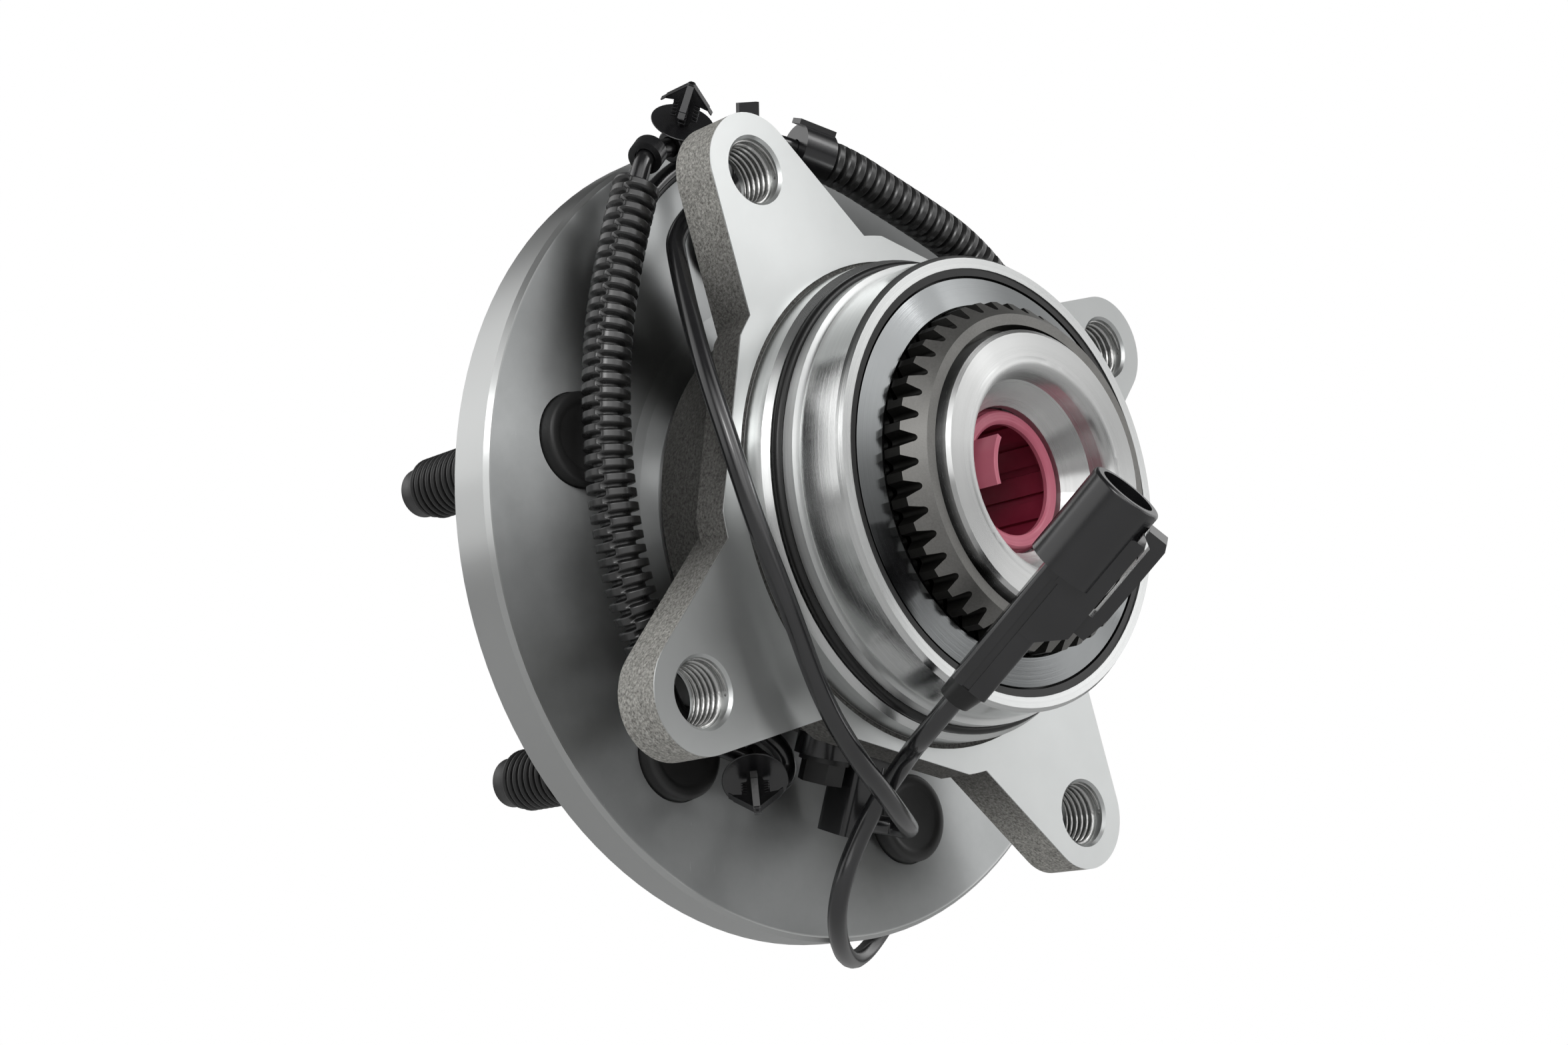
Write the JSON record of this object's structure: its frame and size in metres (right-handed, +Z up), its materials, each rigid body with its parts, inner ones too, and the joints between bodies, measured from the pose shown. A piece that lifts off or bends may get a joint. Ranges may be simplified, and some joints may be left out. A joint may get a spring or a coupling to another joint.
{
  "type": "wheel hub bearing",
  "caption": "Driven-axle wheel hub bearing: knuckle-eared outer ring, studded flange, toothed engagement ring and a clipped wheel speed sensor lead.",
  "frame": {"origin": "spin axis at the machined face of the knuckle ears, which is also where the knuckle pilot starts", "axes": "+Y along the spin axis outboard to the wheel, +Z up, +X to the vehicle's rear or front"},
  "size_m": [0.1907, 0.1624, 0.1864],
  "materials": {
    "raceway_steel": "turned and ground bearing steel",
    "cast_outer": "forged skin, machined on its faces",
    "flange_steel": "turned steel, dull on the dished side",
    "gear_steel": "dark phosphated, bright on the tooth edges",
    "stud_steel": "black phosphated",
    "slinger_steel": "zinc plated sheet",
    "seal_rubber": "satin black",
    "ball_steel": "polished",
    "cage_plastic": "moulded",
    "tone_steel": "sintered",
    "guard_plastic": "translucent crimson",
    "black_plastic": "fine moulded",
    "loom_plastic": "corrugated black",
    "cable_jacket": "smooth black jacket",
    "bolt_steel": "black zinc",
    "pin_metal": "tinned"
  },
  "bodies": {
    "housing": {"outer_ring": "cast_outer", "o_ring": "seal_rubber", "seal_inboard": "seal_rubber", "seal_outboard": "seal_rubber", "sensor_body": "black_plastic", "sensor_sleeve": "bolt_steel", "sensor_bolt": "bolt_steel", "cable_sensor": "cable_jacket", "loom_left": "loom_plastic", "cable_link": "cable_jacket", "loom_right": "loom_plastic", "cable_plug": "cable_jacket", "connector_housing": "black_plastic", "connector_lock": "black_plastic", "connector_pins": "pin_metal", "cable_boot": "seal_rubber", "clip_upper": "black_plastic", "clip_lower": "black_plastic", "clip_tag": "black_plastic", "cable_sleeve": "black_plastic", "loom_collar": "black_plastic"},
    "hub": {"hub": "flange_steel", "inner_ring": "raceway_steel", "toothed_ring": "gear_steel", "slinger": "slinger_steel", "tone_ring": "tone_steel", "spline_protector": "guard_plastic", "wheel_stud_1": "stud_steel", "wheel_stud_2": "stud_steel", "wheel_stud_3": "stud_steel", "wheel_stud_4": "stud_steel", "wheel_stud_5": "stud_steel", "wheel_stud_6": "stud_steel"},
    "rollers_inboard": {"balls_inboard": "ball_steel", "cage_inboard": "cage_plastic"},
    "rollers_outboard": {"balls_outboard": "ball_steel", "cage_outboard": "cage_plastic"}
  },
  "joints": [
    {"name": "hub_spin", "type": "hinge", "parent": "housing", "child": "hub", "pos_m": [0, 0, 0], "axis": [0, 1, 0], "continuous": true},
    {"name": "row_inboard_spin", "type": "hinge", "parent": "housing", "child": "rollers_inboard", "pos_m": [0, 0, 0], "axis": [0, 1, 0], "continuous": true},
    {"name": "row_outboard_spin", "type": "hinge", "parent": "housing", "child": "rollers_outboard", "pos_m": [0, 0, 0], "axis": [0, 1, 0], "continuous": true}
  ],
  "couplings": [
    {"joint": "row_inboard_spin", "follows": "hub_spin", "ratio": 0.4278},
    {"joint": "row_outboard_spin", "follows": "hub_spin", "ratio": 0.4278}
  ]
}
